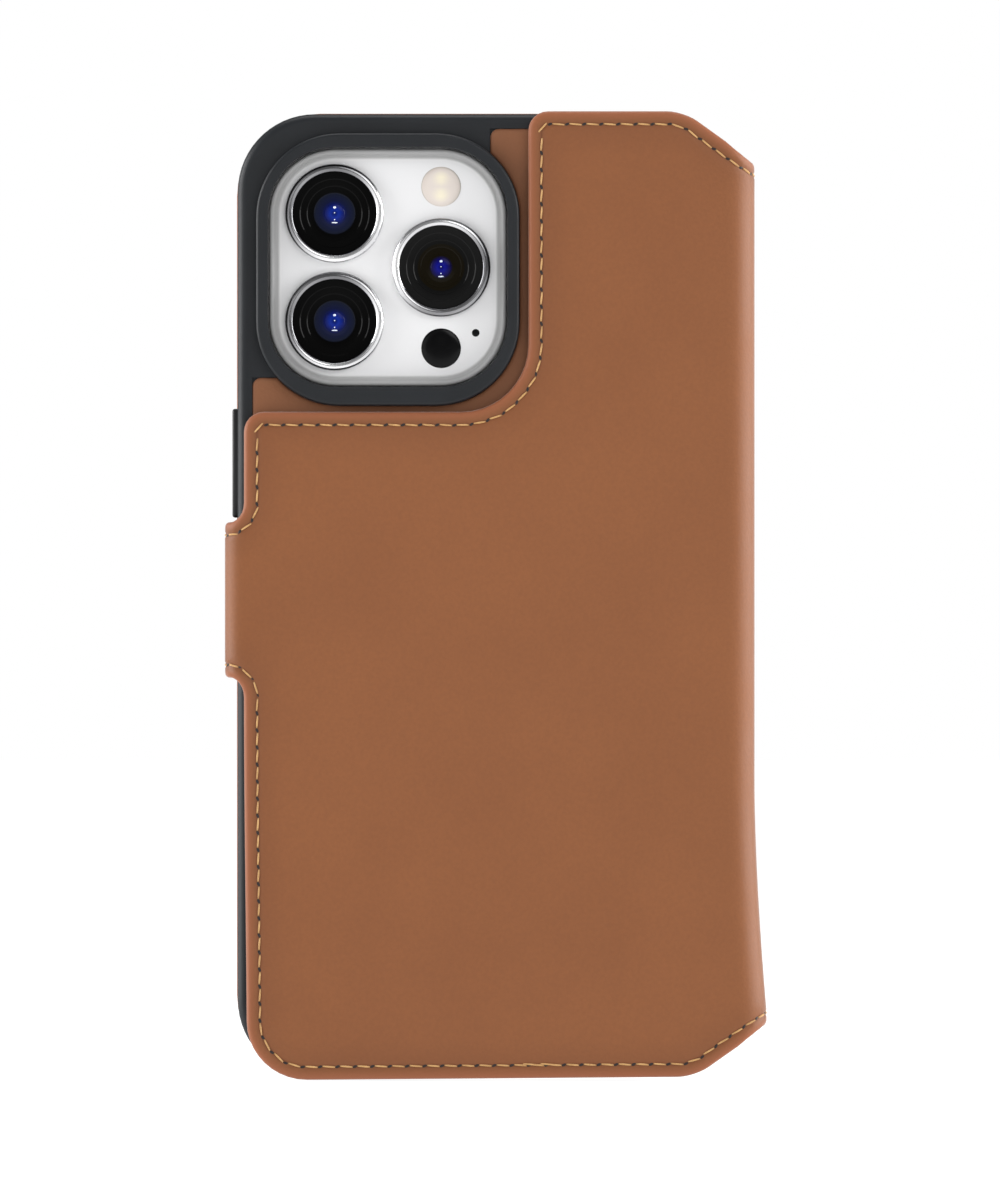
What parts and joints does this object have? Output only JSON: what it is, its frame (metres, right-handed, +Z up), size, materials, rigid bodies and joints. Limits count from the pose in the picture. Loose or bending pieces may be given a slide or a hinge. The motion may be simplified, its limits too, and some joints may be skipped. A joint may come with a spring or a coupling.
{
  "type": "phone wallet case",
  "caption": "Book-type leather wallet case with a pull-off phone shell, camera window, folding spine, magnetic clasp tab and card pockets; holds a phone.",
  "frame": {"origin": "middle of the closed case's footprint, on the level of the panels' lower edges", "axes": "+Z up the phone towards its camera end, +X towards the spine, -Y out of the case's back (the camera side), +Y out of the front cover"},
  "size_m": [0.0826, 0.021, 0.151],
  "materials": {
    "case_leather": "tan-brown grained leather, satin",
    "inner_leather": "tan-brown leather, matt",
    "lining_fabric": "dark brown microfibre",
    "board": "grey-brown fibre board",
    "thread": "tan waxed thread",
    "magnet_metal": "nickel-plated",
    "steel": "plain sheet steel",
    "shell_plastic": "slate-black, matt",
    "button_plastic": "black, satin",
    "phone_metal": "silver, polished",
    "switch_plastic": "orange under silver",
    "back_glass": "frosted silver-white glass, opaque",
    "screen_glass": "black glass, polished",
    "lens_glass": "black coated glass",
    "flash_lens": "cream diffuser",
    "sensor_window": "black window"
  },
  "bodies": {
    "back_panel": {"back_leather": "case_leather", "back_board": "board", "back_lining": "lining_fabric", "back_magnets": "magnet_metal", "back_seam": "thread"},
    "spine": {"rear_fold_leather": "case_leather", "rear_fold_lining": "lining_fabric", "spine_leather": "case_leather", "spine_board": "board", "spine_lining": "lining_fabric", "spine_seam": "thread"},
    "front_cover": {"front_fold_leather": "case_leather", "front_fold_lining": "lining_fabric", "front_leather": "case_leather", "front_board": "board", "front_lining": "lining_fabric", "front_seam": "thread", "clasp_keeper": "steel", "note_pocket": "inner_leather", "card_pocket_upper": "inner_leather", "card_pocket_middle": "inner_leather", "card_pocket_lower": "inner_leather"},
    "tab_side": {"tab_root_leather": "case_leather", "tab_root_lining": "lining_fabric", "tab_side_leather": "case_leather", "tab_side_lining": "lining_fabric", "tab_side_seam": "thread"},
    "tab_end": {"tab_tip_leather": "case_leather", "tab_tip_lining": "lining_fabric", "tab_end_leather": "case_leather", "tab_end_backing": "inner_leather", "tab_end_seam": "thread", "clasp_magnet": "magnet_metal"},
    "phone_shell": {"shell_tray": "shell_plastic", "shell_inlay": "inner_leather", "shell_plate": "steel", "shell_lining": "lining_fabric", "phone_frame": "phone_metal", "phone_back_glass": "back_glass", "phone_screen": "screen_glass", "camera_plateau": "back_glass", "lens_rings": "phone_metal", "lens_glasses": "lens_glass", "camera_flash": "flash_lens", "depth_sensor": "sensor_window"},
    "power_button": {"power_cap": "button_plastic", "power_key": "phone_metal"},
    "volume_up_button": {"volume_up_cap": "button_plastic", "volume_up_key": "phone_metal"},
    "volume_down_button": {"volume_down_cap": "button_plastic", "volume_down_key": "phone_metal"},
    "ring_switch": {"mute_switch": "switch_plastic"}
  },
  "joints": [
    {"name": "spine_fold", "type": "hinge", "parent": "back_panel", "child": "spine", "pos_m": [0.03975, -0.00892, 0.0755], "axis": [0, 0, -1], "range_deg": [0, 90], "deforming": ["rear_fold_leather", "rear_fold_lining"]},
    {"name": "cover_fold", "type": "hinge", "parent": "spine", "child": "front_cover", "pos_m": [0.03975, 0.00667, 0.0755], "axis": [0, 0, -1], "range_deg": [0, 90], "deforming": ["front_fold_leather", "front_fold_lining"]},
    {"name": "tab_side_fold", "type": "hinge", "parent": "back_panel", "child": "tab_side", "pos_m": [-0.04007, -0.00924, 0.07485], "axis": [0, 0, 1], "range_deg": [0, 90], "deforming": ["tab_root_leather", "tab_root_lining"]},
    {"name": "tab_end_fold", "type": "hinge", "parent": "tab_side", "child": "tab_end", "pos_m": [-0.04007, 0.00924, 0.07485], "axis": [0, 0, 1], "range_deg": [0, 90], "deforming": ["tab_tip_leather", "tab_tip_lining"]},
    {"name": "shell_slide", "type": "slide", "parent": "back_panel", "child": "phone_shell", "axis": [0, 0, 1], "range_m": [0, 0.155]},
    {"name": "power_press", "type": "slide", "parent": "phone_shell", "child": "power_button", "axis": [1, 0, 0], "range_m": [0, 0.00025], "stiffness_N_per_m": 3000},
    {"name": "volume_up_press", "type": "slide", "parent": "phone_shell", "child": "volume_up_button", "axis": [-1, 0, 0], "range_m": [0, 0.00025], "stiffness_N_per_m": 3000},
    {"name": "volume_down_press", "type": "slide", "parent": "phone_shell", "child": "volume_down_button", "axis": [-1, 0, 0], "range_m": [0, 0.00025], "stiffness_N_per_m": 3000},
    {"name": "ring_switch_slide", "type": "slide", "parent": "phone_shell", "child": "ring_switch", "axis": [0, 1, 0], "range_m": [0, 0.0008]}
  ]
}
